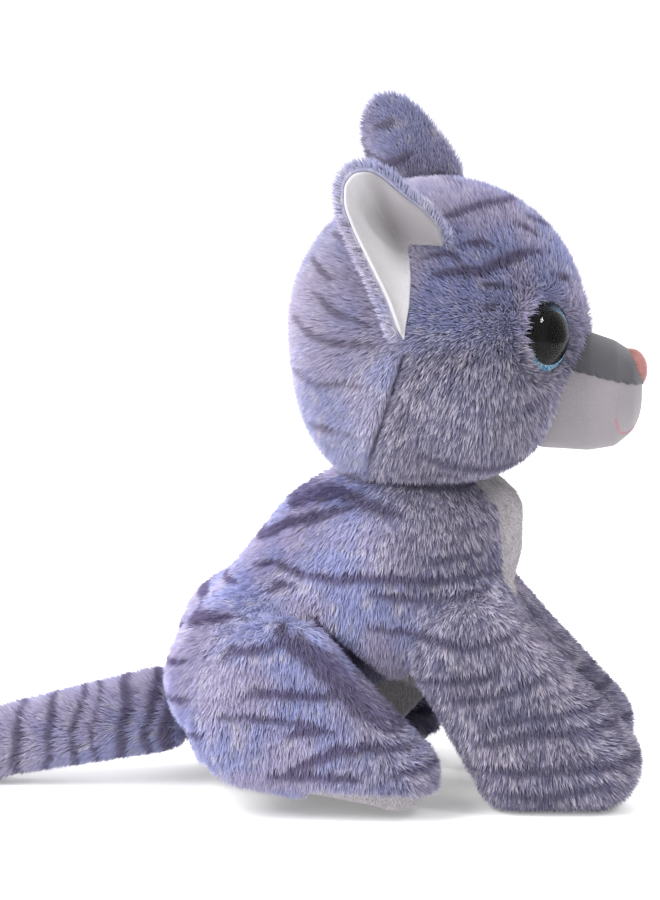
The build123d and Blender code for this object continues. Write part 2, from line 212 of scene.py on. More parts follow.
def wire(tree, kind, inputs=None, **settings):
    """One node with its settings, its inputs wired or set."""
    made = tree.nodes.new(kind)
    for key, value in settings.items():
        setattr(made, key, value)
    for key, value in (inputs or {}).items():
        if isinstance(value, bpy.types.NodeSocket):
            tree.links.new(value, made.inputs[key])
        else:
            made.inputs[key].default_value = value
    return made


def sums(tree, operation, a, b=0.0, c=0.0, clamp=False):
    """One sum, product or comparison of numbers."""
    return wire(tree, "ShaderNodeMath", {0: a, 1: b, 2: c}, operation=operation, use_clamp=clamp).outputs[0]


def blended(tree, share, a, b, way="MIX"):
    """Two colours blended."""
    mix = wire(tree, "ShaderNodeMix", {0: share}, data_type="RGBA", blend_type=way)
    for socket, value in ((mix.inputs[6], a), (mix.inputs[7], b)):
        if isinstance(value, bpy.types.NodeSocket):
            tree.links.new(value, socket)
        else:
            socket.default_value = value
    return mix.outputs[2]


def dye(red, green, blue):
    """A cloth colour from its 0 to 255 values, as the shader wants it."""
    levels = [v / 255 for v in (red, green, blue)]
    return tuple(v / 12.92 if v <= 0.04 else ((v + 0.055) / 1.055) ** 2.4 for v in levels) + (1,)


def ramp(tree, value, low, high):
    """0 below low and 1 above high."""
    inputs = {0: value, 1: low, 2: high}
    return wire(tree, "ShaderNodeMapRange", inputs, interpolation_type="SMOOTHSTEP").outputs[0]


def speckle(tree, place, scale, detail=2.0, stretch=(1, 1, 1)):
    """An uneven value about 0.5, spread over the cloth."""
    spread = wire(tree, "ShaderNodeVectorMath", {0: place, 1: stretch}, operation="MULTIPLY").outputs[0]
    return wire(tree, "ShaderNodeTexNoise", {"Vector": spread, "Scale": scale, "Detail": detail}).outputs[0]


plush_dye_and_shade = bpy.data.node_groups.new("plush_dye_and_shade", "ShaderNodeTree")
for socket, kind in (
    ("Root", "NodeSocketVector"),
    ("Mark", "NodeSocketFloat"),
    ("Frost", "NodeSocketFloat"),
    ("Pale", "NodeSocketFloat"),
    ("Along", "NodeSocketFloat"),
    ("Strand", "NodeSocketFloat"),
):
    plush_dye_and_shade.interface.new_socket(socket, in_out="INPUT", socket_type=kind)
plush_dye_and_shade.interface.new_socket("Colour", in_out="OUTPUT", socket_type="NodeSocketColor")
given = plush_dye_and_shade.nodes.new("NodeGroupInput").outputs
clouds = speckle(plush_dye_and_shade, given["Root"], 34, 2.0)
mottle = speckle(plush_dye_and_shade, given["Root"], 240, 3.0)
streak = speckle(plush_dye_and_shade, given["Root"], 1150, 1.5, (1, 1, 0.42))
ground = blended(plush_dye_and_shade, ramp(plush_dye_and_shade, clouds, 0.40, 0.62), dye(174, 180, 226), dye(200, 192, 222))
ground = blended(plush_dye_and_shade, ramp(plush_dye_and_shade, mottle, 0.50, 0.72), ground, dye(214, 210, 230))
parted = sums(plush_dye_and_shade, "MULTIPLY", ramp(plush_dye_and_shade, streak, 0.52, 0.34), 0.34)
ground = blended(plush_dye_and_shade, parted, ground, dye(134, 131, 178))
ragged = sums(plush_dye_and_shade, "ADD", given["Mark"], sums(plush_dye_and_shade, "MULTIPLY_ADD", mottle, 1.2, -0.6))
ragged = sums(plush_dye_and_shade, "ADD", ragged, sums(plush_dye_and_shade, "MULTIPLY_ADD", streak, 0.6, -0.3))
# the marks darken the ground: stripes and rings of print, and the painted shade bands noted with them
print_and_shade = sums(plush_dye_and_shade, "MULTIPLY", ramp(plush_dye_and_shade, ragged, 0.34, 0.86), 0.82)
ground = blended(plush_dye_and_shade, print_and_shade, ground, dye(92, 78, 122))
lit = sums(plush_dye_and_shade, "ADD", streak, sums(plush_dye_and_shade, "MULTIPLY_ADD", mottle, 0.35, -0.175))
lit = sums(plush_dye_and_shade, "ADD", lit, sums(plush_dye_and_shade, "MULTIPLY", ramp(plush_dye_and_shade, ragged, 0.3, 0.8), -0.16))
frosted = blended(plush_dye_and_shade, ramp(plush_dye_and_shade, lit, 0.42, 0.64), dye(104, 100, 126), dye(206, 198, 212))
ground = blended(plush_dye_and_shade, sums(plush_dye_and_shade, "MULTIPLY", given["Frost"], 0.78), ground, frosted)
ground = blended(plush_dye_and_shade, given["Pale"], ground, dye(212, 207, 212))
# painted shade: the pile is darkened towards its roots, and the cloth beneath it most, standing in for the
# shade deep in the pile; each strand also gets its own random tone
depth = sums(plush_dye_and_shade, "MULTIPLY_ADD", given["Along"], 0.42, 0.66)
depth = sums(plush_dye_and_shade, "MULTIPLY", depth, sums(plush_dye_and_shade, "MULTIPLY_ADD", given["Strand"], 0.28, 0.86))
shade = wire(plush_dye_and_shade, "ShaderNodeCombineColor", {0: depth, 1: depth, 2: depth}).outputs[0]
ground = blended(plush_dye_and_shade, 1.0, ground, shade, "MULTIPLY")
wire(plush_dye_and_shade, "NodeGroupOutput", {0: ground})


def plush(name):
    """Dyed plush with painted shade towards the roots of its pile: its colour follows what was noted on the
    cloth.
    """
    finish = bpy.data.materials.new(name)
    finish.use_nodes = True
    tree = finish.node_tree
    dyed = wire(tree, "ShaderNodeGroup", node_tree=plush_dye_and_shade)
    for socket, noted, out in (
        ("Root", "root", "Vector"),
        ("Mark", "mark", "Fac"),
        ("Frost", "frost", "Fac"),
        ("Pale", "pale", "Fac"),
        ("Along", "along", "Fac"),
        ("Strand", "strand", "Fac"),
    ):
        read = wire(tree, "ShaderNodeAttribute", attribute_name=noted)
        tree.links.new(read.outputs[out], dyed.inputs[socket])
    shader = tree.nodes["Principled BSDF"]
    tree.links.new(dyed.outputs[0], shader.inputs["Base Color"])
    shader.inputs["Roughness"].default_value = 0.85
    shader.inputs["Specular IOR Level"].default_value = 0.25
    shader.inputs["Sheen Weight"].default_value = 0.25
    shader.inputs["Sheen Roughness"].default_value = 0.5
    return finish


striped_plush = plush("striped_plush")

pile_tree = bpy.data.node_groups.new("plush_pile", "GeometryNodeTree")
for socket, kind in (
    ("Cloth", "NodeSocketGeometry"),
    ("Tufts to a square metre", "NodeSocketFloat"),
    ("Length", "NodeSocketFloat"),
    ("Width", "NodeSocketFloat"),
    ("Lie", "NodeSocketFloat"),
    ("Ruffle", "NodeSocketFloat"),
    ("Seed", "NodeSocketInt"),
    ("Finish", "NodeSocketMaterial"),
):
    pile_tree.interface.new_socket(socket, in_out="INPUT", socket_type=kind)
pile_tree.interface.new_socket("Pile", in_out="OUTPUT", socket_type="NodeSocketGeometry")
asked = pile_tree.nodes.new("NodeGroupInput").outputs


def noted(name, kind="FLOAT"):
    """What the cloth says about itself at each tuft."""
    return wire(pile_tree, "GeometryNodeInputNamedAttribute", {"Name": name}, data_type=kind).outputs[0]


def vectors(operation, a, b=(0, 0, 0), scale=1.0):
    """One sum or product of directions."""
    return wire(pile_tree, "ShaderNodeVectorMath", {0: a, 1: b, 3: scale}, operation=operation).outputs[0]


def chance(low, high, seed):
    """A number for each tuft."""
    made = wire(pile_tree, "FunctionNodeRandomValue", {"Seed": seed}, data_type="FLOAT")
    made.inputs[2].default_value, made.inputs[3].default_value = low, high
    return made.outputs[1]


thick = sums(pile_tree, "MULTIPLY", asked["Tufts to a square metre"], noted("grow"))
tufts = wire(
    pile_tree,
    "GeometryNodeDistributePointsOnFaces",
    {"Mesh": asked["Cloth"], "Density": thick, "Seed": asked["Seed"]},
)
kept = wire(
    pile_tree,
    "GeometryNodeStoreNamedAttribute",
    {"Geometry": tufts.outputs["Points"], "Name": "strand", "Value": chance(0.0, 1.0, 3)},
    data_type="FLOAT",
    domain="POINT",
).outputs[0]
here = wire(pile_tree, "GeometryNodeInputPosition").outputs[0]
curl = wire(pile_tree, "ShaderNodeTexNoise", {"Vector": here, "Scale": 420.0, "Detail": 2.0})
curl = vectors("SUBTRACT", curl.outputs["Color"], (0.5, 0.5, 0.5))
stray = wire(pile_tree, "FunctionNodeRandomValue", {"Seed": 7}, data_type="FLOAT_VECTOR")
stray.inputs[0].default_value, stray.inputs[1].default_value = (-0.16, -0.16, -0.16), (0.16, 0.16, 0.16)
combed = vectors("SCALE", noted("comb", "FLOAT_VECTOR"), scale=asked["Lie"])
lean = vectors("ADD", tufts.outputs["Normal"], combed)
lean = vectors("ADD", lean, vectors("SCALE", curl, scale=asked["Ruffle"]))
lean = vectors("ADD", lean, stray.outputs[0])
turn = wire(pile_tree, "FunctionNodeAlignRotationToVector", {"Vector": lean}, axis="Z").outputs[0]
tuft = wire(
    pile_tree,
    "GeometryNodeMeshCone",
    {"Vertices": 3, "Side Segments": 1, "Radius Top": 0.0, "Radius Bottom": 0.5, "Depth": 1.0},
    fill_type="NONE",
).outputs[0]
height = wire(pile_tree, "ShaderNodeSeparateXYZ", {0: here}).outputs[2]
tuft = wire(
    pile_tree,
    "GeometryNodeStoreNamedAttribute",
    {"Geometry": tuft, "Name": "along", "Value": height},
    data_type="FLOAT",
    domain="POINT",
).outputs[0]
long = sums(pile_tree, "MULTIPLY", asked["Length"], noted("nap"))
long = sums(pile_tree, "MULTIPLY", long, chance(0.72, 1.18, 11))
size = wire(pile_tree, "ShaderNodeCombineXYZ", {0: asked["Width"], 1: asked["Width"], 2: long}).outputs[0]
grown = wire(
    pile_tree,
    "GeometryNodeInstanceOnPoints",
    {"Points": kept, "Instance": tuft, "Rotation": turn, "Scale": size},
).outputs[0]
grown = wire(pile_tree, "GeometryNodeRealizeInstances", {0: grown}).outputs[0]
grown = wire(pile_tree, "GeometryNodeSetMaterial", {"Geometry": grown, "Material": asked["Finish"]})
wire(pile_tree, "NodeGroupOutput", {0: grown.outputs[0]})


def worked(form, name, tree, **settings):
    """The plain mesh that a tree makes of a form, its inputs set by name."""
    step = form.modifiers.new("work", "NODES")
    step.node_group = tree
    for item in tree.interface.items_tree:
        if item.item_type == "SOCKET" and item.in_out == "INPUT" and item.name in settings:
            step[item.identifier] = settings[item.name]
    seen = form.evaluated_get(bpy.context.evaluated_depsgraph_get())
    made = bpy.data.objects.new(name, bpy.data.meshes.new_from_object(seen))
    made.data.name = name
    form.modifiers.remove(step)
    bpy.context.scene.collection.objects.link(made)
    return made


def pile(form, name, where, length, seed, finish, density=4.2, width=0.55, lie=1.0, ruffle=1.2):
    """Grows pile on one panel of a cloth form: tufts to a square millimetre, sizes in millimetres."""
    if "grow" in form.data.attributes:
        form.data.attributes.remove(form.data.attributes["grow"])
    points = places(form)
    note(form, "grow", where(*points.T).astype(float))
    made = worked(
        form,
        name,
        pile_tree,
        **{
            "Tufts to a square metre": density * 1e6,
            "Length": length / 1000,
            "Width": width / 1000,
            "Lie": lie,
            "Ruffle": ruffle,
            "Seed": seed,
            "Finish": finish,
        },
    )
    for spare in ("comb", "nap", "grow"):
        if spare in made.data.attributes:
            made.data.attributes.remove(made.data.attributes[spare])
    return made


def hollow_shade_and_print(x, y, z):
    """Painted shade, with some darker print: the fur of the hollow between the shoulder and the haunch is
    darkened where it lies in shade.
    """
    return fade(under_shoulder(x, z), -3, 1) * fade(x, 24, 34) * fade(np.abs(y), 12, 20)


def body_frost(x, y, z):
    return 0.12 + 0.88 * fade(x + 0.25 * z, 66, 92)


def body_pale(x, y, z):
    """The white chest and belly panels."""
    chest = (np.abs(y) < 20.5 - 4 * fade(z, 95, 120)) & (x > 80) & (z > 58)
    belly = (np.abs(y) < 33) & (z < 8 + (x + 12) * 0.52) & (z < 62) & (x > -8)
    return (chest | belly).astype(float)


body = stuffed("body_cloth", body_shape, (-30, -62, -2), (118, 62, 152), 1.5)
# the body's marks: its stripes of print, with painted shade in the hollow between the shoulder and the
# haunch and along the neck under the head
dress(
    body,
    lambda x, y, z: np.maximum(side_marks(body_stripes_and_shade)(x, y, z), hollow_shade_and_print(x, y, z)),
    body_frost,
    (-0.15, 0, -1),
    pale=body_pale,
    nap=lambda x, y, z: 1 - 0.45 * body_pale(x, y, z),
)
body.data.materials.append(striped_plush)
for side, name in ((1, "left"), (-1, "right")):
    coat = pile(
        body,
        f"body_pile_{name}",
        lambda x, y, z, side=side: (side * y >= 0) & (z < 130) & (body_pale(x, y, z) < 0.5),
        coat_length,
        20 + side,
        striped_plush,
    )
    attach(coat, "torso")
    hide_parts(f"body_cover_{name}")
front = pile(body, "chest_and_belly_pile", lambda *p: body_pale(*p) > 0.5, 2.4, 25, striped_plush, 5.0, 0.42)
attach(front, "torso")
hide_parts("chest_panel", "belly_panel")
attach(body, "torso")
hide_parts("body_stuffing", "pellet_bag", "seat_pellets", "neck_stuffing")

# ---- Front legs: plush tubes with a round paw, sewn into the shoulder.  The frosted print runs down them,
# and the pile is combed towards the toes.
front_leg_stripes = body_stripes_and_shade + (
    (1.8, (65, 47), (76, 48), (87, 49), (93, 52)),
    (1.7, (74, 41), (87, 42), (97, 45), (108, 50)),
    (1.8, (87, 32), (97, 35), (113, 36), (124, 37)),
    (1.8, (84, 25), (103, 30), (119, 30), (138, 32)),
    (2.2, (84, 18), (98, 17), (114, 18), (130, 19), (141, 21)),
    (1.8, (90, 10), (108, 9), (130, 13)),
)
shoulder, wrist, toe = (84, 53, 22), (97, 13.5, 13.5), (123.5, 16.5, 16.5)


def limb(x, y, z, rounds, pairs, middle, half, edge):
    """A flat-sided limb with soft edges around its round ends."""
    flat = None
    for a, b in pairs:
        (ax, az, ar), (bx, bz, br) = rounds[a], rounds[b]
        length = stalk(x, 0 * y, z, (ax, 0, az), (bx, 0, bz), ar, br)
        flat = length if flat is None else np.minimum(flat, length)
    across = np.abs(np.abs(y) - middle) - half
    inside = np.minimum(np.maximum(flat + edge, across + edge), 0)
    return inside + np.hypot(np.maximum(flat + edge, 0), np.maximum(across + edge, 0)) - edge


def front_leg_shape(x, y, z):
    half = 19 - 2.5 * np.exp(-(((z - 34) / 14) ** 2))
    return limb(x, y, z, (shoulder, wrist, toe), ((0, 1), (1, 2), (0, 2)), 29, half, 15) + plush_pile


def all_over(x, y, z):
    return np.ones(len(x), bool)


for side, name in ((1, "left"), (-1, "right")):
    low, high = sorted((side * 6, side * 52))
    leg = stuffed(f"front_leg_cloth_{name}", front_leg_shape, (55, low, -2), (146, high, 80), 1.5)
    dress(
        leg,
        side_marks(front_leg_stripes),
        1.0,
        lambda x, y, z: (0.15 + 0.5 * fade(x, 105, 130), 0 * y, -1 + 0.5 * fade(x, 105, 130)),
    )
    leg.data.materials.append(striped_plush)
    coat = pile(leg, f"front_leg_pile_{name}", all_over, coat_length, 30 + side, striped_plush)
    for piece in (leg, coat):
        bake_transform(piece)
    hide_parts(f"front_leg_cover_{name}")
    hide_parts(f"front_leg_stuffing_{name}")

# ---- Hind legs: the haunch and the foot in one plush piece, with a pale short-napped sole let in under
# the foot.  The pile is combed back and down.
hind_leg_stripes_and_shade = body_stripes_and_shade + (
    (2.0, (0, 55), (6, 59), (15, 60), (24, 62)),
    (2.6, (3, 45), (12, 46), (23, 46), (33, 45), (42, 45)),
    (1.8, (0, 38), (8, 38), (17, 37), (28, 36), (35, 35)),
    (1.8, (20, 31), (28, 33), (40, 33)),
    (2.6, (23, 20), (30, 23), (40, 27), (49, 28), (61, 26)),
    (2.0, (15, 18), (28, 18), (40, 18), (48, 17)),
    (1.6, (56, 18), (66, 19), (74, 22)),
    # painted shade, with some darker print: a broad dark band along the haunch's upper front edge, where the
    # crease beside it lies in shade
    (4.6, (20, 64), (30, 58), (38, 50), (47, 40), (57, 32)),
)
haunch, foot = (18, 38, 31), (58, 15, 15)


def hind_leg_shape(x, y, z):
    return limb(x, y, z, (haunch, foot), ((0, 1),), 43, 15, 14) + plush_pile


def sole_pale(x, y, z):
    return fade(13.5 - 0.06 * (x - 30) - z, 0, 2) * fade(x, 24, 34) * fade(72 - x, 0, 4)


for side, name in ((1, "left"), (-1, "right")):
    low, high = sorted((side * 24, side * 62))
    leg = stuffed(f"hind_leg_cloth_{name}", hind_leg_shape, (-18, low, -2), (78, high, 74), 1.5)
    dress(
        leg,
        side_marks(hind_leg_stripes_and_shade),
        lambda x, y, z: 0.12 + 0.5 * fade(x, 30, 60),
        lambda x, y, z: (-0.1 + 0.5 * fade(x, 45, 65), 0 * y, -1 + 0.4 * fade(x, 45, 65)),
        pale=sole_pale,
        nap=lambda x, y, z: 1 - 0.6 * sole_pale(x, y, z),
    )
    leg.data.materials.append(striped_plush)
    plush, nap = (lambda *p: sole_pale(*p) < 0.5), (lambda *p: sole_pale(*p) >= 0.5)
    coat = pile(leg, f"hind_leg_pile_{name}", plush, coat_length, 40 + side, striped_plush)
    sole = pile(leg, f"hind_sole_pile_{name}", nap, 1.8, 44 + side, striped_plush)
    for piece in (leg, coat, sole):
        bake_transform(piece)
    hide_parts(f"hind_leg_cover_{name}")
    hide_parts(f"hind_sole_{name}")
    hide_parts(f"hind_leg_stuffing_{name}")

# ---- Tail: one long plush tube with dark rings, stuffed in two lengths that meet at a soft bend.
# The root length is sewn into the rump and the end length lies on the floor.
tail_root, tail_bend, tail_tip = (-24.5, 0, 25.5), (-84, 0, 12.9), (-130, 0, 11.6)


def tail_shape(x, y, z):
    root = stalk(x, y, z, tail_root, tail_bend, 15.3, 12.5)
    end = stalk(x, y, z, tail_bend, tail_tip, 12.5, 11)
    return sewn(root, end, 4) + plush_pile


tail_ring_places = (
    (-19.5, 4.2, 0.20),
    (-25.5, 3.4, 0.16),
    (-35, 4.6, 0.14),
    (-44, 1.8, 0.12),
    (-50.5, 2.6, 0.16),
    (-59.5, 3.2, 0.12),
    (-70, 3.4, 0.10),
    (-80, 2.6, 0.12),
    (-90, 3.4, 0.08),
    (-100, 2.4, 0.10),
    (-110, 3.6, 0.08),
    (-121, 3.0, 0.06),
    (-131, 3.8, 0.04),
)


def ring_marks(x, y, z):
    """Rings round the tail, each with its own width and slant."""
    dark = np.zeros(len(x))
    for place, wide, slant in tail_ring_places:
        wave = 0.8 * np.sin(y * 0.35 + place) + 0.6 * np.sin(z * 0.4 + 2 * place)
        off = np.abs(x - place - slant * (z - 20) + wave)
        dark = np.maximum(dark, np.clip(1.3 - off / (wide * 0.62), 0, 1))
    return dark


# each length's low and high end, where it is cut and to which side it keeps, and its bend
for node, low, high, cut_at, keeps, seed, bone, bend_start, bend_end in (
    ("tail_root", -87.8, -1, -84.8, 1, 51, "torso", (-0.014, 0, 0.026), (-0.034, 0, 0.024)),
    ("tail_end", -149, -80.2, -83.2, -1, 52, "tail_root", (-0.084, 0, 0.013), (-0.100, 0, 0.0125)),
):

    def length_shape(x, y, z):
        return sewn_out(tail_shape(x, y, z), keeps * (cut_at - x), 0.8)

    cloth = stuffed(f"{node}_cloth", length_shape, (low, -20, -2), (high, 20, 46), 1.4)
    dress(cloth, ring_marks, 0.15, (-0.9, 0, 0.1), pale=0.08)
    cloth.data.materials.append(striped_plush)
    kept_part = lambda x, y, z: (keeps * (x - tail_bend[0]) > 0) & (x < -12)
    coat = pile(cloth, f"{node}_pile", kept_part, 3.6, seed, striped_plush)
    for piece in (cloth, coat):
        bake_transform(piece)
    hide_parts(f"{node}_cover")
    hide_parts(f"{node}_stuffing")

# ---- Head: a stuffed ball of five plush panels.  The rear panels are plain striped plush, the cheeks and
# the forehead are frosted, and a seam runs down from each ear.  The eyes pull small dimples into it.
head_middle, head_radius = (72, 0, 158.5), 51
eye_turn, eye_seat = 42, 46.8
eye_out = (cos(radians(eye_turn)), sin(radians(eye_turn)), sin(radians(1)))
eye_place = tuple(m + d * eye_seat for m, d in zip(head_middle, eye_out))
# width, then places measured from the middle of the head
head_stripes = (
    (1.8, (-43, 10, 26), (-40, 21, 23), (-38, 27, 21), (-35, 31, 20)),
    (1.9, (-42, 25, 15), (-39, 30, 13), (-34, 37, 9), (-28, 42, 8), (-22, 46, 6)),
    (1.8, (-50, 0, 8), (-48, 16, 5), (-44, 26, 2), (-37, 36, 0), (-28, 43, 0), (-18, 48, 0)),
    (1.6, (-50, 0, -10), (-47, 17, -12), (-39, 29, -14), (-31, 39, -13), (-23, 43, -14)),
    (1.5, (-47, 0, -20), (-46, 8, -23), (-41, 16, -27), (-34, 26, -27), (-25, 34, -29)),
    (1.7, (-30, 8, -41), (-27, 16, -41), (-21, 24, -40)),
    (1.5, (-36, 14, 34), (-30, 26, 32), (-26, 35, 27)),
    (1.6, (-44, 0, 27), (-40, 0, 33), (-36, 6, 36)),
    (2.6, (1, 31, 40), (7, 28, 42), (17, 19, 44), (24, 10, 44), (27, 0, 44)),
    (1.9, (7, 39, 32), (15, 36, 33), (19, 35, 32)),
    (2.8, (-2, 46, 23), (7, 44, 24), (16, 42, 24), (23, 37, 27), (30, 30, 29), (36, 23, 28)),
    (1.6, (15, 44, 20), (21, 42, 19), (27, 39, 18)),
    (1.8, (26, 22, 38), (30, 20, 36), (34, 19, 33)),
    (1.7, (-6, 42, 28), (3, 41, 30), (8, 42, 28)),
    (2.0, (38, 26, 21), (46, 15, 17)),
    (1.6, (16, 47, 12), (22, 44, 14)),
    (2.4, (38, 0, 34), (35, 8, 36), (30, 13, 39)),
    (2.0, (8, 8, 50), (2, 0, 51), (8, -8, 50)),
    (2.0, (-14, 10, 48), (-16, 0, 48.5), (-14, -10, 48)),
    (3.0, (-6, 37, -34), (7, 35, -36), (20, 30, -36), (33, 19, -34)),
    (1.8, (-12, 27, -41), (3, 31, -41), (28, 8, -41)),
)


seam_set_back, seam_lean = 10, radians(18)


def off_seam(x, z):
    """Millimetres in front of the seam behind the cheeks."""
    return (x - head_middle[0] + seam_set_back) * cos(seam_lean) - (z - head_middle[2]) * sin(seam_lean)


def seam_line(x, y, z):
    """1 along the seam behind the cheeks, below the ears, and 0 away from it."""
    line = np.exp(-((off_seam(x, z) / 1.5) ** 2))
    return line * fade(np.abs(y), 24, 34) * fade(160 - z, 0, 6)


def head_mark(x, y, z):
    away = np.stack((x, np.abs(y), z), 1) - np.array(head_middle)
    away *= head_radius / np.linalg.norm(away, axis=1)[:, None]
    return np.maximum(stripe_marks(away, head_stripes), seam_line(x, y, z))


def head_shape(x, y, z):
    far = np.abs(y)
    shape = ball(x, y, z, head_middle, head_radius)
    shape = sewn(shape, ball(x, far, z, (84, 26, 138), 25), 10)
    shape = sewn(shape, ball(x, far, z, (59, 8, 137), 32.5), 12)
    eye = ball(x, far, z, tuple(m + d * (eye_seat + 5) for m, d in zip(head_middle, eye_out)), 0)
    dimple = 2.6 * (1 - fade(eye, 9, 17)) * fade(x, 98, 106)
    return shape + plush_pile + 2.4 * seam_line(x, y, z) + dimple


def head_frost(x, y, z):
    cheek = fade(off_seam(x, z), -1, 3)
    low = fade(166 - z, 0, 14)
    return cheek * (0.25 + 0.75 * low) + (1 - cheek) * 0.1


def head_nap(x, y, z):
    eye = ball(x, np.abs(y), z, eye_place, 0)
    return (1 - 0.5 * seam_line(x, y, z)) * np.maximum(0.45 + 0.55 * fade(eye, 11, 17), fade(106 - x, 0, 5))


def bare_head(x, y, z):
    """Where no pile grows: under the eyes and inside the muzzle."""
    far = np.abs(y)
    eye = ball(x, far, z, eye_place, 0)
    muzzle = (x > 100) & (np.hypot(y / 25, (z - 137.3) / 18.5) < 1)
    neck = z < 112
    return (eye < 11.6) | muzzle | (neck & (np.hypot(x - 68, y) < 20))


def head_comb(x, y, z):
    away = np.stack((x - 150, y, z - 150))
    away = away / np.linalg.norm(away, axis=0)
    low = fade(172 - z, 0, 30)
    flat = fade(ball(x, np.abs(y), z, eye_place, 0), 12, 20)
    away[2] -= low * (1 + away[2])
    away[:2] *= 1 - 0.6 * low
    return away * flat


head = stuffed("head_cloth", head_shape, (16, -56, 100), (130, 56, 214), 1.5)
dress(
    head,
    head_mark,
    head_frost,
    head_comb,
    # painted light: behind the seam the head is made paler, standing in for the light falling on the back of
    # the head
    pale=lambda x, y, z: 0.06 + 0.20 * fade(-off_seam(x, z), -2, 2),
    nap=head_nap,
)
head.data.materials.append(striped_plush)
head_panels = (
    ("head_back_pile_left", "head_back_cover_left", lambda x, y, z: (off_seam(x, z) < 0) & (y >= 0)),
    ("head_back_pile_right", "head_back_cover_right", lambda x, y, z: (off_seam(x, z) < 0) & (y < 0)),
    ("cheek_pile_left", "cheek_cover_left", lambda x, y, z: (off_seam(x, z) >= 0) & (y >= 20)),
    ("cheek_pile_right", "cheek_cover_right", lambda x, y, z: (off_seam(x, z) >= 0) & (y <= -20)),
    ("forehead_pile", "forehead_cover", lambda x, y, z: (off_seam(x, z) >= 0) & (np.abs(y) < 20)),
)
for number, (name, cover, where) in enumerate(head_panels):
    coat = pile(
        head,
        name,
        lambda x, y, z, where=where: where(x, y, z) & ~bare_head(x, y, z),
        3.8,
        60 + number,
        striped_plush,
    )
    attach(coat, "head")
    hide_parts(cover)
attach(head, "head")
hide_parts("head_stuffing")

# ---- Muzzle: smooth short-napped velour over its own filling, with a darker strip let in along the top,
# a fuzzy pink nose and a stitched mouth.
muzzle_ovals = (
    (30, -21, 19.5, 26),
    (40, -21, 19.8, 26),
    (50, -21.5, 20, 25),
    (59, -22.3, 17.8, 21),
    (65, -21.8, 13.5, 15),
    (69, -20.8, 7.5, 8),
)


velour_nap = bpy.data.node_groups.new("velour_nap", "ShaderNodeTree")
for socket, kind in (
    ("Place", "NodeSocketVector"),
    ("Colour", "NodeSocketColor"),
    ("Worn", "NodeSocketColor"),
):
    velour_nap.interface.new_socket(socket, in_out="INPUT", socket_type=kind)
velour_nap.interface.new_socket("Tone", in_out="OUTPUT", socket_type="NodeSocketColor")
velour_nap.interface.new_socket("Fuzz", in_out="OUTPUT", socket_type="NodeSocketFloat")
given = velour_nap.nodes.new("NodeGroupInput").outputs
broad = ramp(velour_nap, speckle(velour_nap, given["Place"], 45, 3.0), 0.35, 0.70)
fuzz = speckle(velour_nap, given["Place"], 1400, 2.0)
tone = blended(velour_nap, sums(velour_nap, "MULTIPLY", broad, 0.5), given["Colour"], given["Worn"])
rubbed = sums(velour_nap, "MULTIPLY", ramp(velour_nap, fuzz, 0.40, 0.70), 0.35)
tone = blended(velour_nap, rubbed, tone, given["Worn"])
wire(velour_nap, "NodeGroupOutput", {0: tone, 1: fuzz})


def velour(name, colour, worn):
    """Short-napped cloth: a fine fuzz with slightly uneven colour."""
    finish = bpy.data.materials.new(name)
    finish.use_nodes = True
    tree = finish.node_tree
    place = wire(tree, "ShaderNodeTexCoord").outputs["Object"]
    dyes = {"Place": place, "Colour": dye(*colour), "Worn": dye(*worn)}
    cloth_nap = wire(tree, "ShaderNodeGroup", dyes, node_tree=velour_nap).outputs
    shader = tree.nodes["Principled BSDF"]
    tree.links.new(cloth_nap["Tone"], shader.inputs["Base Color"])
    raised = {"Strength": 0.35, "Distance": 0.0003, "Height": cloth_nap["Fuzz"]}
    tree.links.new(wire(tree, "ShaderNodeBump", raised).outputs[0], shader.inputs["Normal"])
    shader.inputs["Roughness"].default_value = 0.9
    shader.inputs["Specular IOR Level"].default_value = 0.2
    shader.inputs["Sheen Weight"].default_value = 0.35
    return finish


def muzzle_shape(x, y, z):
    along = x - head_middle[0]
    spots = [o[0] for o in muzzle_ovals]
    middle, high, wide = (np.interp(along, spots, [o[k] for o in muzzle_ovals]) for k in (1, 2, 3))
    ring = np.hypot(y / wide, (z - head_middle[2] - middle) / high)
    side = (ring - 1) * high
    return sewn_out(sewn_out(side, along - 68.5, 5), 32 - along, 3) + 0.3


def smoothed(form, rounds, share=0.5):
    """Relaxes the form's points, to take out the steps of its grid."""
    step = form.modifiers.new("relax", "SMOOTH")
    step.factor, step.iterations = share, rounds
    seen = form.evaluated_get(bpy.context.evaluated_depsgraph_get())
    fresh = bpy.data.meshes.new_from_object(seen)
    form.modifiers.remove(step)
    form.data = fresh
    return form


# painted shade: the white velour is given a grey tone darker than its own off-white, standing in for the
# shade the muzzle lies in
muzzle_velour = velour("white_velour", (138, 133, 139), (156, 150, 155))
muzzle = smoothed(stuffed("muzzle_cloth", muzzle_shape, (100, -32, 112), (146, 32, 162), 0.9), 6)
muzzle.data.materials.append(muzzle_velour)
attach(muzzle, "head")
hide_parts("muzzle_cover", "muzzle_stuffing")


def bridge_shape(x, y, z):
    """The strip's own thickness over the muzzle, above its lower edge."""
    edge = 146.2 - 0.29 * (x - 120) + 0.25 * np.sin(x * 1.9) + 0.2 * np.sin(x * 3.7 + y)
    strip = np.maximum(muzzle_shape(x, y, z) - 0.7, -(muzzle_shape(x, y, z) + 1.2))
    return np.maximum(strip, edge - z)


bridge = smoothed(stuffed("nose_bridge_cloth", bridge_shape, (108, -30, 130), (146, 30, 162), 0.7), 2)
bridge.data.materials.append(velour("grey_velour", (72, 71, 77), (90, 88, 94)))
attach(bridge, "head")
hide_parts("nose_bridge")


def nose_shape(x, y, z):
    nose = np.sqrt(((x - 136.2) / 4.8) ** 2 + (y / 9.0) ** 2 + ((z - 144.6) / 6.2) ** 2)
    return (nose - 1) * 5


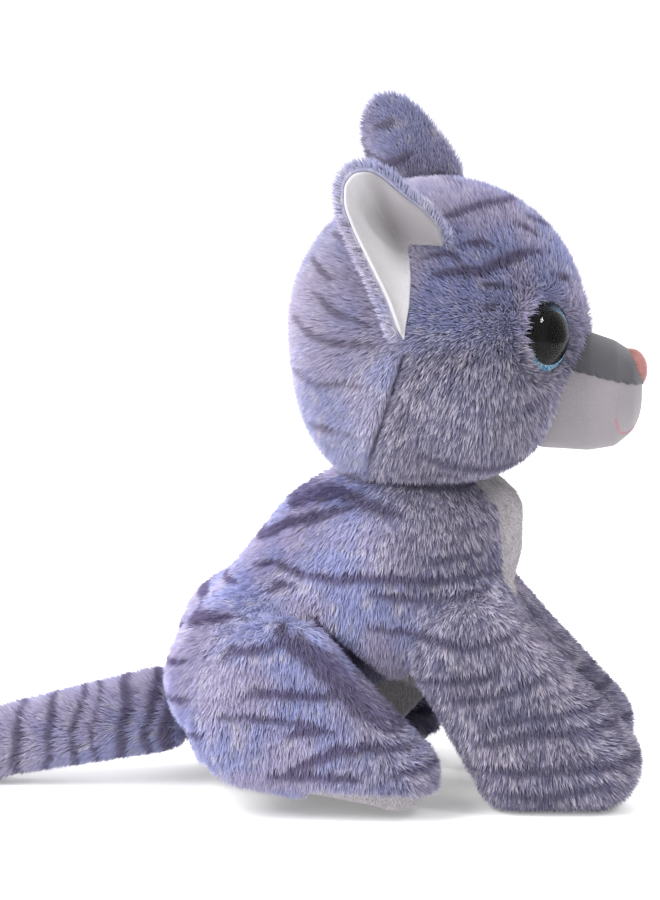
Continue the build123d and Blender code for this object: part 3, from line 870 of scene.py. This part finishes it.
nose = smoothed(stuffed("nose_cloth", nose_shape, (130, -10, 137), (144, 10, 153), 0.6), 3)
nose.data.materials.append(velour("nose_velour", (196, 138, 136), (212, 158, 154)))
nose_fuzz_finish = velour("nose_fuzz", (214, 162, 160), (226, 186, 182))
dress(nose, 0.0, 0.0, (0, 0, -0.4))
nose_fuzz = pile(nose, "nose_fuzz", lambda x, y, z: x > 132, 1.3, 90, nose_fuzz_finish, 9.0, 0.3, 0.6, 1.4)
for piece in (nose, nose_fuzz):
    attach(piece, "head")
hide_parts("nose")

thread_tree = bpy.data.node_groups.new("thread_stitches", "GeometryNodeTree")
for socket, kind in (
    ("Line", "NodeSocketGeometry"),
    ("Thread", "NodeSocketFloat"),
    ("Stitch", "NodeSocketFloat"),
    ("Finish", "NodeSocketMaterial"),
):
    thread_tree.interface.new_socket(socket, in_out="INPUT", socket_type=kind)
thread_tree.interface.new_socket("Stitches", in_out="OUTPUT", socket_type="NodeSocketGeometry")
asked = thread_tree.nodes.new("NodeGroupInput").outputs
line = wire(thread_tree, "GeometryNodeMeshToCurve", {0: asked["Line"]}).outputs[0]
every = {"Curve": line, "Length": asked["Stitch"]}
spots = wire(thread_tree, "GeometryNodeCurveToPoints", every, mode="LENGTH")
bead = wire(thread_tree, "GeometryNodeMeshUVSphere", {"Segments": 8, "Rings": 6, "Radius": 0.5}).outputs[0]
along = {"Vector": spots.outputs["Tangent"]}
lying = wire(thread_tree, "FunctionNodeAlignRotationToVector", along, axis="Z").outputs[0]
longer = sums(thread_tree, "MULTIPLY", asked["Stitch"], 1.5)
thread = asked["Thread"]
girth = wire(thread_tree, "ShaderNodeCombineXYZ", {0: thread, 1: thread, 2: longer}).outputs[0]
laid = wire(
    thread_tree,
    "GeometryNodeInstanceOnPoints",
    {"Points": spots.outputs[0], "Instance": bead, "Rotation": lying, "Scale": girth},
).outputs[0]
laid = wire(thread_tree, "GeometryNodeRealizeInstances", {0: laid}).outputs[0]
laid = wire(thread_tree, "GeometryNodeSetMaterial", {"Geometry": laid, "Material": asked["Finish"]})
wire(thread_tree, "NodeGroupOutput", {0: laid.outputs[0]})


def stitched(name, lines, thread, stitch, finish):
    """Thread laid in stitches along lines of places in millimetres."""
    mesh = bpy.data.meshes.new(name + "_line")
    spots, edges = [], []
    for run in lines:
        edges += [(len(spots) + k, len(spots) + k + 1) for k in range(len(run) - 1)]
        spots += [tuple(v / 1000 for v in place) for place in run]
    mesh.from_pydata(spots, edges, [])
    guide = bpy.data.objects.new(name + "_line", mesh)
    bpy.context.scene.collection.objects.link(guide)
    made = worked(guide, name, thread_tree, Thread=thread / 1000, Stitch=stitch / 1000, Finish=finish)
    bpy.data.objects.remove(guide)
    return made


def on_muzzle(y, z, proud=-0.25):
    """The place on the front of the muzzle at a width and a height."""
    steps = np.linspace(104, 143, 400)
    level = muzzle_shape(steps, np.full(400, float(y)), np.full(400, float(z)))
    within = steps[level < 0]
    return (float(within.max() if len(within) else 130) + proud, y, z)


lip = [(0, 139.5), (0, 136), (0, 132)]
mouth_lines = [[on_muzzle(y, z) for y, z in lip]]
for side in (1, -1):
    curve = [(19 * t, 131.5 - 8 * sin(0.72 * pi * t) + 4.5 * t**3) for t in np.linspace(0, 1, 18)]
    mouth_lines.append([on_muzzle(side * y, z) for y, z in curve])
mouth_thread = velour("mouth_thread", (164, 112, 124), (186, 136, 144))
mouth = stitched("mouth_stitch_thread", mouth_lines, 1.0, 1.1, mouth_thread)
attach(mouth, "head")
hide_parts("mouth_stitch")

# ---- Eyes: clear domes over a black pupil and a blue glitter iris, on a black backing button whose shank
# is locked by a washer inside the head.
clear = bpy.data.materials.new("eye_dome_clear")
clear.use_nodes = True
shader = clear.node_tree.nodes["Principled BSDF"]
shader.inputs["Base Color"].default_value = (1, 1, 1, 1)
shader.inputs["Roughness"].default_value = 0.02
shader.inputs["IOR"].default_value = 1.28
shader.inputs["Transmission Weight"].default_value = 1.0
pupil_black = bpy.data.materials.new("pupil_black")
pupil_black.use_nodes = True
shader = pupil_black.node_tree.nodes["Principled BSDF"]
shader.inputs["Base Color"].default_value = dye(6, 6, 9)
shader.inputs["Roughness"].default_value = 0.5
shader.inputs["Specular IOR Level"].default_value = 0.0
backing = bpy.data.materials.new("backing_black")
backing.use_nodes = True
tree = backing.node_tree
shader = tree.nodes["Principled BSDF"]
place = wire(tree, "ShaderNodeTexCoord").outputs["Object"]
tone = blended(tree, ramp(tree, speckle(tree, place, 300, 2.0), 0.4, 0.7), dye(14, 14, 18), dye(34, 36, 46))
tree.links.new(tone, shader.inputs["Base Color"])
shader.inputs["Roughness"].default_value = 0.3
glitter = bpy.data.materials.new("blue_glitter")
glitter.use_nodes = True
tree = glitter.node_tree
shader = tree.nodes["Principled BSDF"]
place = wire(tree, "ShaderNodeTexCoord").outputs["Object"]
flake = wire(tree, "ShaderNodeTexVoronoi", {"Vector": place, "Scale": 2200.0})
shine = wire(tree, "ShaderNodeSeparateColor", {0: flake.outputs["Color"]}).outputs
tone = blended(tree, ramp(tree, shine[0], 0.15, 0.85), dye(60, 145, 215), dye(165, 222, 250))
tone = blended(tree, ramp(tree, shine[1], 0.82, 0.95), tone, dye(235, 248, 255))
spot = wire(tree, "ShaderNodeSeparateXYZ", {0: place}).outputs
# painted shade: the glitter is darkened towards the top and the rear of the eye, where the fur of the brow
# shades it, and stays bright at the lower front
iris_x, iris_z = 0.107, 0.1593
lower_front = sums(tree, "MULTIPLY_ADD", spot[0], 90.0, -90.0 * iris_x)
above_middle = sums(tree, "MULTIPLY_ADD", spot[2], 61.0, -61.0 * iris_z)
lower_front = sums(tree, "SUBTRACT", lower_front, above_middle)
tone = blended(tree, ramp(tree, lower_front, -0.60, 0.35), dye(10, 14, 26), tone)
tree.links.new(tone, shader.inputs["Base Color"])
tree.links.new(sums(tree, "MULTIPLY_ADD", shine[2], 0.4, 0.15), shader.inputs["Roughness"])
shader.inputs["Specular IOR Level"].default_value = 0.2
washer_white = velour("washer_plastic", (226, 226, 222), (240, 240, 236))
dome_radius, dome_height, dome_sunk = 11.5, 6.0, 0.3


def clear_dome(name, side):
    """The dome's cap, moulded down onto the painted iris so that no air lies between."""
    outward = Vector((eye_out[0], side * eye_out[1], eye_out[2])).normalized()
    across = Vector((-side * outward.y, side * outward.x, 0)).normalized()
    upward = outward.cross(across)
    middle = Vector(head_middle) + outward * eye_seat
    bend = (dome_radius**2 + dome_height**2) / (2 * dome_height)
    profile = [(dome_radius, -dome_sunk)]
    for step in range(17):
        rise = dome_height * step / 16
        profile.append(((bend**2 - (bend - dome_height + rise) ** 2) ** 0.5, rise))
    turns, spots, faces = 64, [], []
    for wide, high in profile[:-1]:
        for k in range(turns):
            way = across * cos(2 * pi * k / turns) + upward * sin(2 * pi * k / turns)
            spots.append((middle + way * wide + outward * high) / 1000)
    rows = len(profile) - 1
    top, bottom = len(spots), len(spots) + 1
    spots += [(middle + outward * dome_height) / 1000, (middle - outward * dome_sunk) / 1000]
    for k in range(turns):
        n = (k + 1) % turns
        for ring in range(0, (rows - 1) * turns, turns):
            faces.append((ring + k, ring + n, ring + turns + n, ring + turns + k))
        faces += [((rows - 1) * turns + k, (rows - 1) * turns + n, top), (n, k, bottom)]
    mesh = bpy.data.meshes.new(name)
    mesh.from_pydata(spots, [], faces)
    mesh.validate()
    form = bpy.data.objects.new(name, mesh)
    bpy.context.scene.collection.objects.link(form)
    if sum(p.normal.dot(p.center - spots[top]) for p in mesh.polygons) < 0:
        mesh.flip_normals()
    mesh.polygons.foreach_set("use_smooth", [p.normal.dot(outward) > 0.2 for p in mesh.polygons])
    form.data.materials.append(clear)
    return form


for side, name in ((1, "left"), (-1, "right")):
    dome = clear_dome(f"eye_dome_clear_{name}", side)
    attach(dome, "head")
    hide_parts(f"eye_dome_{name}")
    for node, finish in (
        ("eye_pupil", pupil_black),
        ("eye_iris", glitter),
        ("eye_button", backing),
        ("eye_washer", washer_white),
    ):
        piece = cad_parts[f"{node}_{name}"]
        piece.data.materials.clear()
        piece.data.materials.append(finish)

# ---- Ears: a smooth pale lining and a striped plush back, cupped and sewn in a hook from the top of the
# head down its side.  The hollow folds to a notch near the base.
# places from the front corner round the base to the bottom, and round the rim
ear_base = (
    (0.00, 73.6, 39.0, 190.4),
    (0.20, 68.0, 38.5, 190.2),
    (0.40, 62.6, 38.2, 189.6),
    (0.55, 62.9, 41.6, 184.0),
    (0.70, 62.9, 45.0, 178.0),
    (0.85, 62.2, 48.0, 170.0),
    (1.00, 60.1, 49.5, 160.0),
)
ear_rim = (
    (0.00, 73.6, 40.0, 190.6),
    (0.10, 71.5, 45.0, 197.0),
    (0.22, 67.0, 49.0, 202.4),
    (0.34, 59.9, 52.0, 208.0),
    (0.42, 54.5, 53.0, 213.0),
    (0.48, 50.0, 54.0, 215.8),
    (0.54, 44.5, 54.5, 215.6),
    (0.60, 41.0, 54.0, 211.5),
    (0.68, 41.0, 53.5, 204.0),
    (0.76, 44.3, 53.0, 195.6),
    (0.86, 49.5, 52.5, 185.0),
    (0.94, 55.2, 52.0, 173.5),
    (1.00, 59.4, 51.5, 161.0),
)


def curve_at(table, share):
    """A smooth place on a line of places, each with its share of the way."""
    table = np.array(table)
    return np.stack([np.interp(share, table[:, 0], table[:, k]) for k in (1, 2, 3)], -1)


def ear_sheet(across, up, sink):
    """The cupped lining of the right ear (its side towards -Y), as a sheet from base to rim."""
    base, rim = curve_at(ear_base, across), curve_at(ear_rim, across)
    fold = np.exp(-(((across - 0.44) / 0.16) ** 2))
    cup = np.sin(pi * np.clip(up, 0, 1) ** 0.8) * np.sin(pi * across) ** 0.7
    place = base * (1 - up)[..., None] + rim * up[..., None]
    inward = np.array((-0.55, -0.80, 0.10))
    place = place + inward * (cup * (3.0 + 8.5 * fold) + sink)[..., None]
    return place * np.array((1, -1, 1))


def ear_mesh(name, high, thick, way):
    """One cloth of the ear: a sheet thickened to one side, way 1 out of the hollow and -1 behind it."""
    wide, tall = 60, 28
    across, up = np.meshgrid(np.linspace(0.004, 0.996, wide), np.linspace(0, high, tall), indexing="ij")
    mesh = bpy.data.meshes.new(name)
    faces = [
        (i * tall + j, (i + 1) * tall + j, (i + 1) * tall + j + 1, i * tall + j + 1)
        for i in range(wide - 1)
        for j in range(tall - 1)
    ]
    mesh.from_pydata(ear_sheet(across, up, 0 * up).reshape(-1, 3) / 1000, [], faces)
    mesh.update()
    form = bpy.data.objects.new(name, mesh)
    bpy.context.scene.collection.objects.link(form)
    smoothed(form, 5)
    sheet = places(form)
    facing = np.empty(len(form.data.vertices) * 3)
    form.data.vertices.foreach_get("normal", facing)
    facing = facing.reshape(-1, 3)
    if (facing @ np.array((0.55, -0.80, -0.10))).mean() < 0:
        form.data.flip_normals()
        facing = -facing
    wall = form.modifiers.new("thickness", "SOLIDIFY")
    wall.thickness, wall.offset = thick / 1000, float(way)
    wall.use_even_offset = False
    round_off = form.modifiers.new("round", "SUBSURF")
    round_off.levels = round_off.render_levels = 1
    seen = form.evaluated_get(bpy.context.evaluated_depsgraph_get())
    form.data = bpy.data.meshes.new_from_object(seen)
    form.modifiers.clear()
    form.data.polygons.foreach_set("use_smooth", [True] * len(form.data.polygons))
    points = places(form)
    behind = np.empty(len(points))
    for start in range(0, len(points), 500):
        chunk = points[start : start + 500]
        near = np.argmin(((chunk[:, None] - sheet[None]) ** 2).sum(-1), axis=1)
        behind[start : start + 500] = ((chunk - sheet[near]) * facing[near]).sum(-1)
    return form, behind


def to_left(points):
    """The left ear is the right one turned over, stood higher and pitched a little forward."""
    turned = points * np.array((1, -1, 1)) - np.array(head_middle)
    roll, pitch = radians(20), radians(6)
    x, y, z = turned.T
    y, z = y * cos(roll) - z * sin(roll), z * cos(roll) + y * sin(roll)
    x, z = x * cos(pitch) + z * sin(pitch), z * cos(pitch) - x * sin(pitch)
    return np.stack((x, y, z), 1) + np.array(head_middle)


ear_velour = velour("ear_velour", (186, 184, 188), (200, 197, 198))
tree = ear_velour.node_tree
shader = tree.nodes["Principled BSDF"]
# painted shade: the lining's front flap is darkened where it lies in the shade of the fold
painted_flap_shade = wire(tree, "ShaderNodeAttribute", attribute_name="painted_flap_shade").outputs["Fac"]
tone = blended(tree, painted_flap_shade, shader.inputs["Base Color"].links[0].from_socket, dye(126, 121, 126))
tree.links.new(tone, shader.inputs["Base Color"])
ear_stripes = (
    (1.6, (44, 208), (49, 212)),
    (1.8, (42, 198), (48, 200), (56, 204)),
    (2.0, (46, 190), (55, 192), (62, 196), (68, 197)),
    (1.6, (52, 181), (57, 184)),
)
for side, name in ((-1, "right"), (1, "left")):
    lining, above = ear_mesh(f"ear_lining_cloth_{name}", 1.02, 1.2, 1)
    back, above = ear_mesh(f"ear_back_cloth_{name}", 1.045, 3.0, -1)
    lining.data.materials.append(ear_velour)
    x, y, z = places(lining).T
    # painted shade: how far the front flap lies in the shade of the fold
    note(lining, "painted_flap_shade", 0.75 * fade(x + 0.35 * (z - 200), 49, 57) * fade(z, 180, 190))
    back.data.materials.append(striped_plush)
    dress(back, side_marks(ear_stripes), 0.15, (-0.5, 0, 0.5), pale=0.25)
    coat = pile(back, f"ear_pile_{name}", lambda x, y, z: above < -1.2, 3.0, 70 + side, striped_plush)
    if side > 0:
        for piece in (lining, back, coat):
            moved = to_left(places(piece)) / 1000
            piece.data.vertices.foreach_set("co", moved.ravel())
            piece.data.flip_normals()
            piece.data.update()
    for piece in (lining, back, coat):
        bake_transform(piece)
    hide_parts(f"ear_back_{name}")
    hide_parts(f"ear_lining_{name}")

# ---- Stage: a pale floor, soft studio light from the upper left, and the camera.
mesh = bpy.data.meshes.new("floor")
mesh.from_pydata([(-2, -2, 0), (0.8, -2, 0), (0.8, 2, 0), (-2, 2, 0)], [], [(0, 1, 2, 3)])
floor = bpy.data.objects.new("floor", mesh)
bpy.context.scene.collection.objects.link(floor)
paper = bpy.data.materials.new("paper")
paper.use_nodes = True
paper.node_tree.nodes["Principled BSDF"].inputs["Base Color"].default_value = (0.97, 0.97, 0.97, 1)
paper.node_tree.nodes["Principled BSDF"].inputs["Roughness"].default_value = 0.9
paper.node_tree.nodes["Principled BSDF"].inputs["Emission Color"].default_value = (1, 1, 1, 1)
seen_direct = wire(paper.node_tree, "ShaderNodeLightPath").outputs["Is Camera Ray"]
glow = sums(paper.node_tree, "MULTIPLY", seen_direct, 0.22)
paper.node_tree.links.new(glow, paper.node_tree.nodes["Principled BSDF"].inputs["Emission Strength"])
floor.data.materials.append(paper)

world = bpy.data.worlds.new("studio")
bpy.context.scene.world = world
world.use_nodes = True
world.node_tree.nodes["Background"].inputs[0].default_value = (1, 1, 1, 1)
seen_direct = wire(world.node_tree, "ShaderNodeLightPath").outputs["Is Camera Ray"]
way = wire(world.node_tree, "ShaderNodeTexCoord").outputs["Generated"]
ahead = wire(world.node_tree, "ShaderNodeSeparateXYZ", {0: way}).outputs[0]
room = sums(world.node_tree, "MULTIPLY_ADD", ramp(world.node_tree, ahead, 0.70, 0.92), -0.30, 0.83)
glow = wire(world.node_tree, "ShaderNodeMix", {0: seen_direct, 2: room, 3: 1.05}).outputs[0]
world.node_tree.links.new(glow, world.node_tree.nodes["Background"].inputs[1])
aim = Vector((0.0347, 0.0, 0.1165))
for name, place, size, power in (
    ("key_light", (-0.75, -0.55, 0.85), 0.7, 14),
    ("front_light", (0.81, -0.53, 1.0), 0.2, 3),
    ("rim_light", (0.2, 0.8, 0.8), 0.6, 4),
):
    lamp = bpy.data.lights.new(name, "AREA")
    lamp.size, lamp.energy = size, power
    light = bpy.data.objects.new(name, lamp)
    light.location = place
    light.rotation_euler = (Vector(place) - aim).to_track_quat("Z", "Y").to_euler()
    bpy.context.scene.collection.objects.link(light)

lens = bpy.data.cameras.new("camera")
lens.sensor_width = 36.0
lens.lens = 36.0 * 1.25 / 0.3061
lens.clip_start, lens.clip_end = 0.05, 20
camera = bpy.data.objects.new("camera", lens)
bpy.context.scene.collection.objects.link(camera)
azimuth, elevation = radians(2), radians(9)
back_off = Vector((sin(azimuth) * cos(elevation), -cos(azimuth) * cos(elevation), sin(elevation)))
camera.location = aim + back_off * 1.25
camera.rotation_euler = back_off.to_track_quat("Z", "Y").to_euler()
bpy.context.scene.camera = camera
bpy.context.scene.view_settings.view_transform = "Standard"
bpy.context.scene.view_settings.exposure = 0.14
